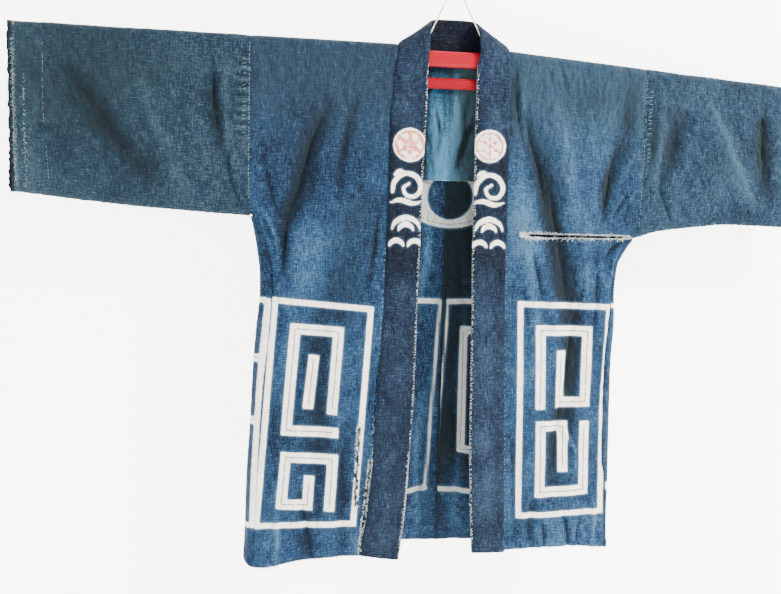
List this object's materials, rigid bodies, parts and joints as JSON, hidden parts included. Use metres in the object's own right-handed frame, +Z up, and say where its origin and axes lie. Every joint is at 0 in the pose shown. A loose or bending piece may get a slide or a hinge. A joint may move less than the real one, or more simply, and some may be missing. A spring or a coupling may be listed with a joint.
{
  "type": "hanten work coat on a bar hanger",
  "caption": "Indigo cotton work coat with square sleeves, a long folded collar and open front, hung flat on a bar hanger with a cord loop.",
  "frame": {"origin": "top of the hanging cord, where a hook or peg holds it", "axes": "+Z up; +X to the viewer's right (the wearer's left) along the hanger bar; front of the coat faces -Y"},
  "size_m": [1.309, 0.0572, 0.9001],
  "materials": {
    "indigo_right": "worn indigo cotton with resist-dyed cream bars",
    "indigo_left": "worn indigo cotton with resist-dyed cream bars",
    "sleeve_right": "faded indigo cotton",
    "sleeve_left": "faded indigo cotton",
    "collar_navy": "dark greyed indigo cotton, whip-stitched edge",
    "lining_blue": "light blue cotton lining",
    "hanger_red": "red plastic, slightly worn",
    "cord_cream": "twisted cream cord"
  },
  "bodies": {
    "root": {"right_body": "indigo_right", "left_body": "indigo_left", "right_sleeve": "sleeve_right", "left_sleeve": "sleeve_left", "collar": "collar_navy", "yoke_lining": "lining_blue", "hanger_bar": "hanger_red", "hanger_lower_bar": "hanger_red", "hanger_link_right": "hanger_red", "hanger_link_left": "hanger_red", "hanger_cord": "cord_cream"}
  },
  "joints": []
}
